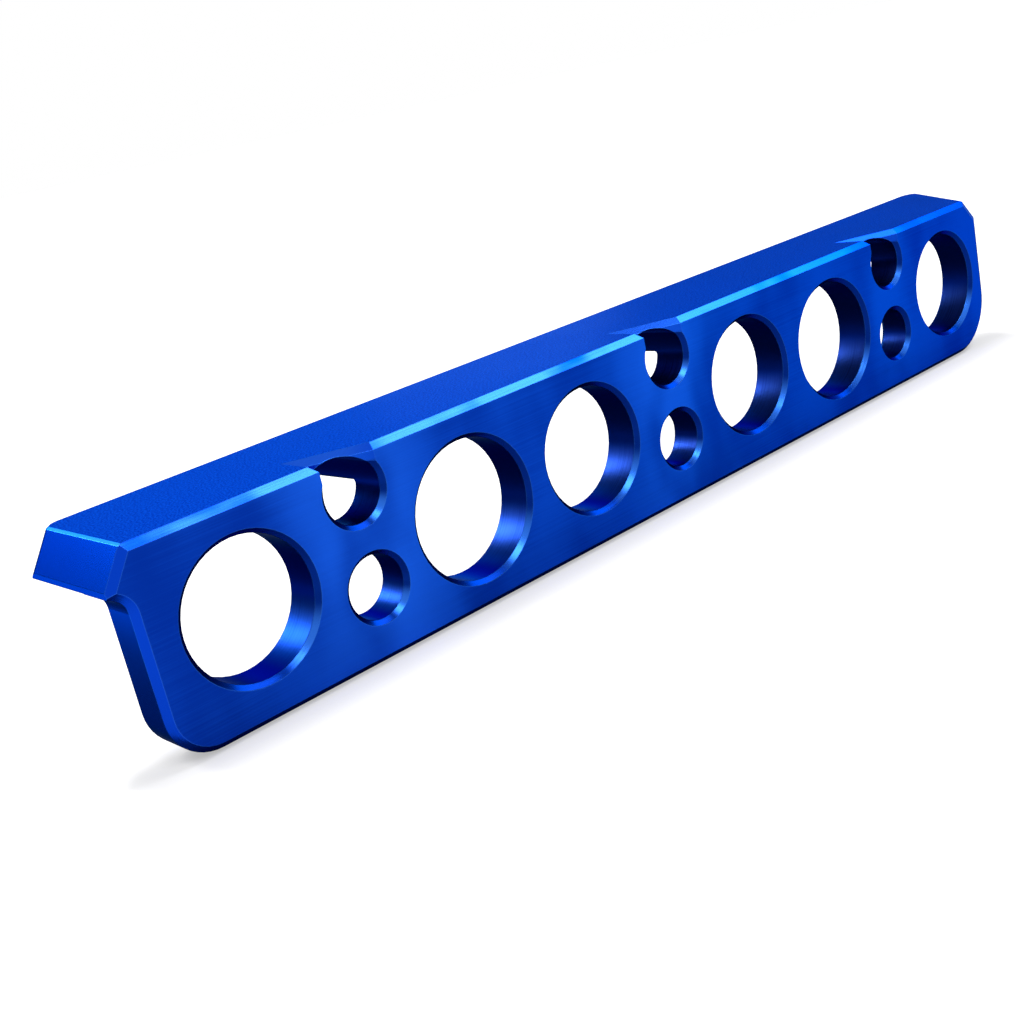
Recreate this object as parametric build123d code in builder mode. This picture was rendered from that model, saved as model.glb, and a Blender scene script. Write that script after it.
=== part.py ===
"""Tool holder bar: an L-section bar with a row of round tool holes in its upright wall.

The bar is milled from one piece of aluminium. The upright wall stands at the front, and the
flange runs back from its top edge. The origin lies on the flange's outer face, by which the
bar is fixed, at the middle of the row of holes and of the flange's depth. +X runs along the
bar, +Y points back from the front face, +Z points up.
"""
import os
from math import cos, radians, sin, tan

from build123d import *

# L section, seen from the end
bar_height = 42.8
wall_thickness = 9.6
flange_depth = 33.4
flange_thickness = 8.4
inner_fillet = 0.8

# Ends. The wall reaches this far past the middle of the outer tool hole
left_end_length = 22.0
right_end_length = 20.0
flange_overhang = 3.1
left_cut_width = 5.0
left_cut_height = 7.2
right_cut_width = 5.6
right_cut_height = 6.0
left_corner_radius = 9.5
right_corner_radius = 15.0
back_corner_radius = 3.0

# The right end isn't square: in plan it runs outward to the back at this angle
right_end_slant = 38.0

# Tool holes, whose upper edges are level
tool_hole_diameter = 28.0
wide_hole_diameter = 30.0
tool_hole_top = 6.6

# Stations along the bar: each has a tool hole on its left and one on its right, this far
# apart. The web lies between the tool holes of two neighbouring stations
end_station_spread = 55.0
middle_station_spread = 57.0
station_web = 7.0

# Small holes of a station: a closed one, and above it an open one with a thin roof, which
# the mouth breaks through
small_hole_diameter = 13.2
small_hole_depth = 27.7
open_hole_roof = 1.1

# The open hole's mouth: a wedge let into the top and the front, from its left side
mouth_width = 13.0
mouth_angle = 31.5

# Edge breaks
edge_bevel = 1.4
mouth_bevel = 1.4
rim_bevel = 1.0
small_rim_bevel = 1.6
small_break = 0.4
bevel_angle = 45.0

# Cutters start this far outside the face that they enter
overrun = 2.0

# Edges are picked where they lie within this much of a plane
tolerance = 0.01

# Places that follow from the sizes
front = -flange_depth / 2
back = flange_depth / 2
wall_back = front + wall_thickness
tool_holes_between = (tool_hole_diameter + wide_hole_diameter) / 2 + station_web
station_pitch = (end_station_spread + middle_station_spread) / 2 + tool_holes_between
outer_hole = station_pitch + end_station_spread / 2
left_wall_end = -outer_hole - left_end_length
right_wall_end = outer_hole + right_end_length
right_tip = right_wall_end + flange_depth * tan(radians(right_end_slant))
left_tip = left_wall_end - flange_overhang
open_hole_depth = small_hole_diameter / 2 + open_hole_roof
stations = [
    (-station_pitch, end_station_spread),
    (0, middle_station_spread),
    (station_pitch, end_station_spread),
]
front_plane = Plane.XZ.offset(-front)

# The web below the wide holes is the thinnest, and no bevel takes more than a third of it
lower_web = bar_height - tool_hole_top - wide_hole_diameter
front_bevel = min(edge_bevel, lower_web / 3)
hole_bevel = min(rim_bevel, lower_web / 3)


def tool_holes():
    """Place and radius of each tool hole. The two that face the middle station are wide."""
    holes = []
    for station, spread in stations:
        for side in (-1, 1):
            faces_middle = station * side < 0
            radius = (wide_hole_diameter if faces_middle else tool_hole_diameter) / 2
            holes.append((station + side * spread / 2, -tool_hole_top - radius, radius))
    return holes


def small_holes(depth):
    """Place and radius of the three small holes that lie at this depth below the flange's face."""
    return [(station, -depth, small_hole_diameter / 2) for station, _ in stations]


def edges_on(part, axis, level):
    """Edges of the part that lie in the plane across this axis at this level."""
    return part.edges().filter_by_position(axis, level - tolerance, level + tolerance)


def rims_on(part, level, holes):
    """Round edges of these holes, in the plane across Y at this level."""
    round_edges = edges_on(part, Axis.Y, level).filter_by(GeomType.CIRCLE)
    centres = [Vector(x, level, z) for x, z, _ in holes]
    return round_edges.filter_by(
        lambda edge: any((edge.arc_center - centre).length < tolerance for centre in centres)
    )


with BuildPart() as tool_bar:
    # L section, run along the whole length of the bar. Its long back edges are broken lightly
    with BuildSketch(Plane.YZ.offset(left_tip - overrun)) as section:
        with BuildLine():
            Polyline(
                (front, 0),
                (front, -bar_height),
                (wall_back, -bar_height),
                (wall_back, -flange_thickness),
                (back, -flange_thickness),
                (back, 0),
                close=True,
            )
        make_face()
        for corner in ((wall_back, -bar_height), (back, -flange_thickness)):
            chamfer(section.vertices().sort_by_distance(corner)[0], small_break)
    extrude(amount=right_tip - left_tip + 2 * overrun)
    inner_corner = (0, wall_back, -flange_thickness)
    fillet(tool_bar.edges().filter_by(Axis.X).sort_by_distance(inner_corner)[0], inner_fillet)

    # Outline of the left end, seen from the front. The flange reaches past the wall and a hollow
    # quarter circle joins the two; the top corner is cut and the lower one rounded
    left_cut_slope = left_cut_width / left_cut_height
    sharp_tip = left_tip - left_cut_slope * (flange_thickness - left_cut_height)
    hollow_radius = left_wall_end - sharp_tip
    hollow_end = (left_wall_end, -flange_thickness - hollow_radius)
    with BuildSketch(front_plane) as left_outline:
        with BuildLine():
            Polyline(
                (sharp_tip, -flange_thickness),
                (left_tip + left_cut_width, 0),
                (right_tip + overrun, 0),
                (right_tip + overrun, -bar_height),
                (left_wall_end, -bar_height),
                hollow_end,
            )
            RadiusArc(hollow_end, (sharp_tip, -flange_thickness), -hollow_radius)
        make_face()
        fillet(left_outline.vertices().group_by(Axis.Y)[0].sort_by(Axis.X)[0], left_corner_radius)
    extrude(amount=-flange_depth, mode=Mode.INTERSECT)

    # Outline of the right end, carried back at its slant: the top corner is cut and the lower
    # one rounded
    with BuildSketch(front_plane) as right_outline:
        with BuildLine():
            Polyline(
                (left_tip - flange_depth, 0),
                (right_wall_end - right_cut_width, 0),
                (right_wall_end, -right_cut_height),
                (right_wall_end, -bar_height),
                (left_tip - flange_depth, -bar_height),
                close=True,
            )
        make_face()
        fillet(right_outline.vertices().group_by(Axis.Y)[0].sort_by(Axis.X)[-1], right_corner_radius)
    slant = radians(right_end_slant)
    extrude(amount=flange_depth / cos(slant), dir=(sin(slant), cos(slant), 0), mode=Mode.INTERSECT)

    # The front face is bevelled all round, and the back corners of the flange are rounded.
    # Then the sharp tip below the left cut is taken off upright
    front_outline = tool_bar.faces().sort_by(Axis.Y)[0].outer_wire().edges()
    chamfer(front_outline, front_bevel)
    back_corners = tool_bar.faces().sort_by(Axis.Y)[-1].edges().filter_by(Axis.X, reverse=True)
    fillet(back_corners, back_corner_radius)
    with BuildSketch(front_plane):
        with Locations((left_tip, -left_cut_height)):
            Rectangle(overrun, 2 * overrun, align=(Align.MAX, Align.MAX))
    extrude(amount=-flange_depth, mode=Mode.SUBTRACT)

    # The outer edges of the flange's top are broken lightly
    top_edges = edges_on(tool_bar, Axis.Z, 0)
    top_edges = top_edges.filter_by_position(Axis.Y, front + front_bevel, back, (False, True))
    chamfer(top_edges, small_break)

    # All the round holes pass straight through from the front, where their rims are bevelled,
    # and on under the flange
    closed_holes = tool_holes() + small_holes(small_hole_depth)
    open_holes = small_holes(open_hole_depth)
    with Locations(front_plane):
        for x, z, radius in closed_holes + open_holes:
            with Locations((x, z)):
                CounterSinkHole(radius, radius + hole_bevel, flange_depth, 2 * bevel_angle)

    # Mouth of each open hole: a wedge in plan, from the hole's middle up through the flange
    slope = tan(radians(mouth_angle))
    with BuildSketch(Plane.XY.offset(-open_hole_depth)) as mouths:
        for station, _ in stations:
            mouth_left = station - small_hole_diameter / 2
            with BuildLine():
                Polyline(
                    (mouth_left, front - overrun),
                    (mouth_left + mouth_width + overrun / slope, front - overrun),
                    (mouth_left, front + mouth_width * slope),
                    close=True,
                )
            make_face()
    extrude(amount=open_hole_depth, mode=Mode.SUBTRACT)

    # The mouths are bevelled at the top. At the wall's back the small closed holes are
    # countersunk, and the other rims are broken lightly
    with BuildSketch(Plane.XY.offset(-mouth_bevel)):
        add(mouths.sketch_local)
    extrude(amount=mouth_bevel, taper=-bevel_angle, mode=Mode.SUBTRACT)
    chamfer(rims_on(tool_bar, wall_back, small_holes(small_hole_depth)), small_rim_bevel)
    chamfer(rims_on(tool_bar, wall_back, tool_holes() + open_holes), small_break)

tool_bar.part.label = "tool_bar"
os.makedirs("parts", exist_ok=True)
export_step(tool_bar.part, "parts/tool_bar.step")
print("volume", round(tool_bar.part.volume), "mm3, valid", tool_bar.part.is_valid)
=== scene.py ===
from math import cos, pi, radians, sin

import bmesh
import bpy
from mathutils import Matrix, Vector


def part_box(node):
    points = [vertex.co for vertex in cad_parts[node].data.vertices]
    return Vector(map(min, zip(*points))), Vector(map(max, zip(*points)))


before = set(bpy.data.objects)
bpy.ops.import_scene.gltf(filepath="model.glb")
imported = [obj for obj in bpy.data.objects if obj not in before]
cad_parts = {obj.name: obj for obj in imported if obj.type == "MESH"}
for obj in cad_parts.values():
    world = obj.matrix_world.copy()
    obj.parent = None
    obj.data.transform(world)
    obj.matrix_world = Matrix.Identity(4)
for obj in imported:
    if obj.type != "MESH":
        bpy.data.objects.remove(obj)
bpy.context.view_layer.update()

# The tool bar: one L-section bar, milled from aluminium and anodised deep blue. The front keeps
# a fine grain along the bar, the flange's top is satin, and the bevels and the round holes keep
# the bright lines of the cutter.
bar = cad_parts["tool_bar"]
low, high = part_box("tool_bar")

# The dye, from the front face's two depths to where it is worn, the worn colour also painting a
# highlight on the edges. The holes, the rims, the bevels and the left end get painted light and
# shade of their own, chosen to come close to the picture
dye_deep = (0.001, 0.026, 0.31, 1.0)
dye_soft = (0.003, 0.053, 0.48, 1.0)
# Painted light, for the band on the front and the wall's left end
painted_light_blue = (0.010, 0.115, 0.78, 1.0)
dye_top = (0.014, 0.098, 0.62, 1.0)
# Painted shade and light for the bores, the rims, the bevels and the cut at the left end
bore_painted_shade = (0.001, 0.014, 0.19, 1.0)
bore_painted_light = (0.022, 0.072, 0.47, 1.0)
rim_painted_shade = (0.001, 0.017, 0.18, 1.0)
painted_bevel_blue = (0.002, 0.045, 0.52, 1.0)
painted_highlight_blue = (0.022, 0.130, 0.62, 1.0)
cut_painted_shade = (0.004, 0.036, 0.26, 1.0)
# The worn colour, which is also a painted highlight on the edges
worn_and_highlight_blue = (0.08, 0.36, 0.95, 1.0)
grazing_tint = (0.18, 0.42, 1.0, 1.0)


def new_material(name):
    """An empty material with a Principled shader and its output."""
    material = bpy.data.materials.new(name)
    material.use_nodes = True
    tree = material.node_tree
    tree.nodes.clear()
    shader = tree.nodes.new("ShaderNodeBsdfPrincipled")
    output = tree.nodes.new("ShaderNodeOutputMaterial")
    tree.links.new(shader.outputs["BSDF"], output.inputs["Surface"])
    return material, tree, shader


def node(tree, kind, settings=None, **links):
    """A node of this kind. Its sockets are given by name, with _ for a space, or as _ and number."""
    made = tree.nodes.new(kind)
    for name, value in (settings or {}).items():
        setattr(made, name, value)
    for name, value in links.items():
        number = name[1:]
        socket = made.inputs[int(number) if number.isdigit() else name.replace("_", " ")]
        if isinstance(value, bpy.types.NodeSocket):
            tree.links.new(value, socket)
        else:
            socket.default_value = value
    return made


def maths(tree, operation, a, b=0.0, clamp=False):
    """One Math node of two values."""
    settings = {"operation": operation, "use_clamp": clamp}
    return node(tree, "ShaderNodeMath", settings, _0=a, _1=b).outputs[0]


def times(tree, first, *others):
    """The product of these values, which for masks is where they all lie."""
    product = first
    for value in others:
        product = maths(tree, "MULTIPLY", product, value)
    return product


def ramp(tree, value, start, end):
    """A soft step of the value, from 0 at the start to 1 at the end."""
    step = node(tree, "ShaderNodeMapRange", {"interpolation_type": "SMOOTHSTEP"}, Value=value)
    step.inputs["From Min"].default_value = start
    step.inputs["From Max"].default_value = end
    return step.outputs["Result"]


def blend_colour(tree, factor, under, over):
    """A mix of two colours."""
    mix = node(tree, "ShaderNodeMix", {"data_type": "RGBA"}, _0=factor, _6=under, _7=over)
    return mix.outputs[2]


def fine_noise(tree, place, density, detail):
    """Noise with about this many features to the metre along each axis."""
    drawn = node(tree, "ShaderNodeMapping", Vector=place, Scale=density).outputs["Vector"]
    return node(tree, "ShaderNodeTexNoise", Vector=drawn, Scale=1.0, Detail=detail).outputs["Fac"]


anodised, tree, shader = new_material("anodised_blue")
shader.inputs["Metallic"].default_value = 1.0
shader.inputs["Specular Tint"].default_value = grazing_tint

coordinates = node(tree, "ShaderNodeTexCoord")
place = coordinates.outputs["Object"]
where = node(tree, "ShaderNodeSeparateXYZ", Vector=place)
along = where.outputs["X"]
height = where.outputs["Z"]
facing = node(tree, "ShaderNodeSeparateXYZ", Vector=coordinates.outputs["Normal"])
sideways = facing.outputs["X"]
forward = maths(tree, "ABSOLUTE", facing.outputs["Y"])
upright = facing.outputs["Z"]

# The flat top is a thin skin, the upper edge's bevel lies just under it, and the holes and their
# rims lie inside the outline: clear of that bevel, of the left end and of the foot
top_skin = 0.0005
upper_edge_start, upper_edge_end = 0.0035, 0.0028
left_end_start, left_end_end = 0.00855, 0.0095
foot_start, foot_end = 0.0020, 0.0025
edge_slope = (0.45, 0.60)
near_top = ramp(tree, height, high.z - 2 * top_skin, high.z - top_skin)
above = ramp(tree, height, high.z - upper_edge_start, high.z - upper_edge_end)
past_left_end = ramp(tree, along, low.x + left_end_start, low.x + left_end_end)
above_foot = ramp(tree, height, low.z + foot_start, low.z + foot_end)
inside = times(tree, maths(tree, "SUBTRACT", past_left_end, above, clamp=True), above_foot)
on_upper_edge = times(tree, above, ramp(tree, upright, *edge_slope))

# Where each finish lies: the front and back, the flat top, the bevels, and the bores. Each is
# found by how straight the face points that way
straight_front = (0.90, 0.98)
straight_up = (0.95, 0.99)
slanted = (0.35, 0.60)
not_straight = (0.90, 0.80)
square_to_front = (0.20, 0.05)
on_front = ramp(tree, forward, *straight_front)
on_top = times(tree, ramp(tree, upright, *straight_up), near_top)
on_bevel = times(tree, ramp(tree, forward, *slanted), ramp(tree, forward, *not_straight))
on_bore = times(tree, ramp(tree, forward, *square_to_front), inside)

# Features to the metre of each pattern: the front's grain, the top's blasted speckle, the lines
# round a bored hole, and the slow patches of the dye
grain_density = (25.0, 3800.0, 3800.0)
speckle_density = (2400.0, 2400.0, 2400.0)
turning_density = (35.0, 3200.0, 35.0)
patch_density = (45.0, 45.0, 22.5)
grain = fine_noise(tree, place, grain_density, 3.0)
speckle = fine_noise(tree, place, speckle_density, 1.0)
turning = fine_noise(tree, place, turning_density, 3.0)
patches = fine_noise(tree, place, patch_density, 2.0)

# In the picture the front is lighter in a soft upright band at each pair of small holes, less so
# to the right. Here that light is painted into the colour as a band, so it stays in any light
station_pitch = 0.092
band_reach = 0.026
band_patches = (0.22, 0.55)
stations = maths(tree, "DIVIDE", along, station_pitch)
stations = maths(tree, "SUBTRACT", stations, maths(tree, "ROUND", stations))
from_station = times(tree, maths(tree, "ABSOLUTE", stations), station_pitch)
on_band = times(
    tree,
    ramp(tree, from_station, band_reach, 0.0),
    ramp(tree, patches, *band_patches),
    ramp(tree, along, high.x, low.x / 2),
)

# Sharp edges, which are worn a little lighter and carry a thin painted highlight
edge_width = 0.00022
edge_turn = (0.995, 0.94)
rounded = node(tree, "ShaderNodeBevel", {"samples": 6}, Radius=edge_width).outputs["Normal"]
flat = node(tree, "ShaderNodeNewGeometry").outputs["Normal"]
turned = node(tree, "ShaderNodeVectorMath", {"operation": "DOT_PRODUCT"}, _0=rounded, _1=flat)
on_edge = ramp(tree, turned.outputs["Value"], *edge_turn)

# Fine lines and grains, each at its own place, and the patches make the dye of the front lighter
# or darker
patch_share = 0.78
fine_share = 0.22
shade_range = (0.34, 0.64)
band_share = 0.85
turned_faces = maths(tree, "MAXIMUM", on_bore, on_bevel)
fine = maths(tree, "ADD", times(tree, grain, on_front), times(tree, speckle, on_top))
fine = maths(tree, "ADD", fine, times(tree, turning, turned_faces))
shade = maths(tree, "ADD", times(tree, patches, patch_share), times(tree, fine, fine_share))
colour = blend_colour(tree, ramp(tree, shade, *shade_range), dye_deep, dye_soft)
colour = blend_colour(tree, times(tree, on_band, band_share), colour, painted_light_blue)

# The flange's top is speckled evenly
speckle_range = (0.35, 0.65)
top_colour = blend_colour(tree, ramp(tree, speckle, *speckle_range), dye_deep, dye_top)
colour = blend_colour(tree, on_top, colour, top_colour)

# The light in the round holes is painted in as well: they are dark, and their lower right side,
# which looks up to the left, is lighter
bore_left = (-0.15, -0.65)
bore_up = (0.18, 0.60)
turning_range = (0.05, 0.60)
bore_light = times(
    tree,
    ramp(tree, sideways, *bore_left),
    ramp(tree, upright, *bore_up),
    ramp(tree, turning, *turning_range),
)
bore_colour = blend_colour(tree, bore_light, bore_painted_shade, bore_painted_light)
colour = blend_colour(tree, on_bore, colour, bore_colour)

# The bar's left end: painted light on the upright end of the wall, and painted shade on the cut
# above it at the flange's corner
straight_left = (-0.93, -0.99)
end_share = 0.5
cut_left = (-0.74, -0.80)
cut_up = (0.45, 0.55)
on_end = maths(tree, "SUBTRACT", ramp(tree, sideways, *straight_left), inside, clamp=True)
colour = blend_colour(tree, times(tree, on_end, end_share), colour, painted_light_blue)
on_cut = times(tree, ramp(tree, sideways, *cut_left), ramp(tree, upright, *cut_up))
on_cut = maths(tree, "SUBTRACT", on_cut, inside, clamp=True)
colour = blend_colour(tree, on_cut, colour, cut_painted_shade)

# The picture's light is painted into the bevels too. The rims of the holes are dark, with a
# bright spot at the lower right. The upper edge is bright in patches, less so to the right, and
# the mouths' bevels are fainter than the rest of it
rim_left = (-0.15, -0.45)
rim_up = (0.20, 0.45)
edge_patches = (0.36, 0.52)
mouth_left = (-0.30, -0.10)
mouth_share = 0.4
rim_light = times(tree, ramp(tree, sideways, *rim_left), ramp(tree, upright, *rim_up))
rim_colour = blend_colour(tree, rim_light, rim_painted_shade, painted_highlight_blue)
bright_edge = times(
    tree,
    ramp(tree, along, high.x, low.x / 4),
    ramp(tree, patches, *edge_patches),
    maths(tree, "MAXIMUM", ramp(tree, sideways, *mouth_left), mouth_share),
    on_upper_edge,
)
bevel_colour = blend_colour(tree, bright_edge, painted_bevel_blue, painted_highlight_blue)
bevel_colour = blend_colour(tree, inside, bevel_colour, rim_colour)
colour = blend_colour(tree, on_bevel, colour, bevel_colour)
edge_share = 0.2
colour = blend_colour(tree, times(tree, on_edge, edge_share), colour, worn_and_highlight_blue)

# The narrow break round the flat top, which is worn the most and carries a painted highlight
break_slope = (0.76, 0.82)
break_end = (0.975, 0.94)
on_break = times(tree, ramp(tree, upright, *break_slope), ramp(tree, upright, *break_end), near_top)
colour = blend_colour(tree, on_break, colour, worn_and_highlight_blue)
tree.links.new(colour, shader.inputs["Base Color"])

# The bevels are the smoothest, and the top is the roughest
bevel_satin = 0.24
front_satin = 0.08
top_satin = 0.16
bore_satin = 0.08
patch_satin = 0.10
satin = maths(tree, "ADD", times(tree, on_front, front_satin), bevel_satin)
satin = maths(tree, "ADD", satin, times(tree, on_top, top_satin))
satin = maths(tree, "ADD", satin, times(tree, on_bore, bore_satin))
uneven = maths(tree, "SUBTRACT", patches, 0.5)
satin = maths(tree, "ADD", satin, times(tree, uneven, patch_satin))
tree.links.new(satin, shader.inputs["Roughness"])

line_depth = 0.00006
line_strength = 0.3
bump = node(
    tree, "ShaderNodeBump", Height=fine, Strength=line_strength, Distance=line_depth, Normal=rounded
)
tree.links.new(bump.outputs["Normal"], shader.inputs["Normal"])

for material_slot in bar.material_slots:
    material_slot.material = anodised

# The floor: a white studio sheet just under the bar's lower edge. Much of its white is its own
# glow, so that the bar's shadow on it is faint. A painted shadow makes it a little dimmer close to
# the front, and a little way off it is plain white, sooner past the ends and behind
floor_size = 30.0
floor_gap = 0.0005
shadow_reach = 0.010
white_reach = 0.050
painted_shadow_reach = 0.030
painted_shadow_dim = 0.16
end_haste = 3.5
back_haste = 2.2
sheet_colour = (0.85, 0.85, 0.85, 1.0)
seen_colour = (0.46, 0.46, 0.46, 1.0)
seen_glow = 0.58
mirrored_glow = 0.15
mirrored_start, mirrored_full = 0.018, 0.050
mesh = bpy.data.meshes.new("floor")
shape = bmesh.new()
bmesh.ops.create_grid(shape, x_segments=1, y_segments=1, size=floor_size)
bmesh.ops.translate(shape, verts=shape.verts, vec=(0, 0, low.z - floor_gap))
shape.to_mesh(mesh)
shape.free()
floor = bpy.data.objects.new("floor", mesh)
bpy.context.scene.collection.objects.link(floor)

paper, tree, shader = new_material("white_paper")
shader.inputs["Roughness"].default_value = 0.9
shader.inputs["Emission Color"].default_value = (1.0, 1.0, 1.0, 1.0)
place = node(tree, "ShaderNodeTexCoord").outputs["Object"]
where = node(tree, "ShaderNodeSeparateXYZ", Vector=place)
behind = times(tree, maths(tree, "SUBTRACT", where.outputs["Y"], low.y), back_haste)
in_front = maths(tree, "MAXIMUM", times(tree, where.outputs["Y"], -1.0), behind)
past_end = maths(tree, "SUBTRACT", maths(tree, "ABSOLUTE", where.outputs["X"]), -low.x)
past_end = times(tree, maths(tree, "MAXIMUM", past_end, 0.0), end_haste)
away = node(tree, "ShaderNodeCombineXYZ", X=past_end, Y=in_front).outputs["Vector"]
away = node(tree, "ShaderNodeVectorMath", {"operation": "LENGTH"}, _0=away).outputs["Value"]

path = node(tree, "ShaderNodeLightPath")
seen = path.outputs["Is Camera Ray"]
paper_colour = blend_colour(tree, seen, sheet_colour, seen_colour)
tree.links.new(paper_colour, shader.inputs["Base Color"])
far_off = ramp(tree, away, shadow_reach, white_reach)
# A painted shadow, dimming the sheet close to the bar's front
painted_contact_shadow = ramp(tree, away, painted_shadow_reach, -low.y)
glow = maths(tree, "ADD", times(tree, far_off, 1 - seen_glow), seen_glow)
glow = maths(tree, "SUBTRACT", glow, times(tree, painted_contact_shadow, painted_shadow_dim))
mirrored = times(
    tree,
    path.outputs["Is Glossy Ray"],
    ramp(tree, in_front, mirrored_start, mirrored_full),
    mirrored_glow,
)
glow = maths(tree, "ADD", times(tree, seen, glow), mirrored)
tree.links.new(glow, shader.inputs["Emission Strength"])
mesh.materials.append(paper)

# Studio light: a long soft box above the bar and to its right, a small one above its front, a
# wide one behind it and a tall one behind its left end. The camera doesn't see them


def panel(name, place, along, size, brightness):
    """A soft box that faces the bar, its first side along this direction. Brightness 1 is white."""
    data = bpy.data.lights.new(name, "AREA")
    data.shape = "RECTANGLE"
    data.size, data.size_y = size
    data.energy = brightness * pi * data.size * data.size_y
    light = bpy.data.objects.new(name, data)
    away = Vector(place).normalized()
    side = (Vector(along) - away * away.dot(Vector(along))).normalized()
    turned = Matrix((side, away.cross(side), away)).transposed().to_4x4()
    light.matrix_world = Matrix.Translation(place) @ turned
    light.visible_camera = False
    bpy.context.scene.collection.objects.link(light)


panel("top_box", (0.58, -0.30, 0.76), along=(0.774, 0.228, -0.59), size=(0.9, 0.25), brightness=6)
panel("front_box", (-0.20, -0.60, 0.78), along=(1, 0, 0), size=(0.34, 0.34), brightness=6)
panel("back_box", (0.30, 1.15, 0.36), along=(1, 0, 0), size=(2.4, 0.5), brightness=0.4)
panel("left_box", (-0.44, 0.68, 0.60), along=(1, 0, 0), size=(0.26, 0.75), brightness=9)

# Dark sheets of painted shade, which only the bar's reflections show: on the sheet under and behind
# the bar, and upright behind it, above it and past its right end
shade_cloth, tree, shader = new_material("reflected_shade")
shader.inputs["Base Color"].default_value = (0.12, 0.12, 0.12, 1.0)
shader.inputs["Roughness"].default_value = 1.0


def shade_sheet(name, place, facing, size):
    """A dark sheet of painted shade, which only reflections show, at this place, square to the
    direction that it faces.
    """
    mesh = bpy.data.meshes.new(name)
    shape = bmesh.new()
    bmesh.ops.create_grid(shape, x_segments=1, y_segments=1, size=0.5)
    bmesh.ops.scale(shape, verts=shape.verts, vec=(*size, 1))
    turned = Vector(facing).to_track_quat("Z", "Y").to_matrix()
    bmesh.ops.rotate(shape, verts=shape.verts, matrix=turned)
    bmesh.ops.translate(shape, verts=shape.verts, vec=place)
    shape.to_mesh(mesh)
    shape.free()
    mesh.materials.append(shade_cloth)
    sheet = bpy.data.objects.new(name, mesh)
    sheet.visible_camera = False
    sheet.visible_diffuse = False
    sheet.visible_shadow = False
    bpy.context.scene.collection.objects.link(sheet)


shade_left, shade_right = -0.178, 0.35
shade_front, shade_back = -0.0175, 0.25
shade_size = (shade_right - shade_left, shade_back - shade_front)
shade_middle = ((shade_left + shade_right) / 2, (shade_front + shade_back) / 2, low.z - floor_gap / 2)
shade_sheet("floor_shade", shade_middle, facing=(0, 0, 1), size=shade_size)
shade_sheet("back_shade", (-0.2, shade_back, -0.006), facing=(0, -1, 0), size=(0.6, 0.072))
shade_sheet("high_shade", (-0.09, 0.77, 0.70), facing=(0.09, -0.77, -0.70), size=(0.36, 0.30))
shade_sheet("right_shade", (0.85, 0.55, 0.10), facing=(-0.85, -0.45, -0.10), size=(0.45, 0.30))

# The room: plain white walls, which light the bar from all round at less than half of the
# strength at which the camera and the bar's reflections see them
room_light = 0.45
world = bpy.data.worlds.new("studio")
world.use_nodes = True
tree = world.node_tree
sky = tree.nodes["Background"]
sky.inputs["Color"].default_value = (1, 1, 1, 1)
path = node(tree, "ShaderNodeLightPath")
seen = maths(tree, "MAXIMUM", path.outputs["Is Camera Ray"], path.outputs["Is Glossy Ray"])
strength = node(tree, "ShaderNodeMix", {"data_type": "FLOAT"}, _0=seen, _2=room_light, _3=1.0)
tree.links.new(strength.outputs[0], sky.inputs["Strength"])
bpy.context.scene.world = world

# The camera stands at the left, in front of the bar and above it, and is turned about its
# own line of sight, as the picture is
camera_place = (-0.22899, -0.23068, 0.05939)
camera_azimuth = radians(39.059)
camera_elevation = radians(-17.136)
camera_roll = radians(-12.494)
sensor_width = 36.0
focal_length = 47.985
nearest_seen = 0.01

camera_data = bpy.data.cameras.new("camera")
camera_data.sensor_width = sensor_width
camera_data.lens = focal_length
camera_data.clip_start = nearest_seen
camera = bpy.data.objects.new("camera", camera_data)
line_of_sight = Vector((
    sin(camera_azimuth) * cos(camera_elevation),
    cos(camera_azimuth) * cos(camera_elevation),
    sin(camera_elevation),
))
aimed = line_of_sight.to_track_quat("-Z", "Y").to_matrix().to_4x4()
rolled = Matrix.Rotation(camera_roll, 4, "Z")
camera.matrix_world = Matrix.Translation(camera_place) @ aimed @ rolled
bpy.context.scene.collection.objects.link(camera)
bpy.context.scene.camera = camera
bpy.context.scene.view_settings.view_transform = "Standard"
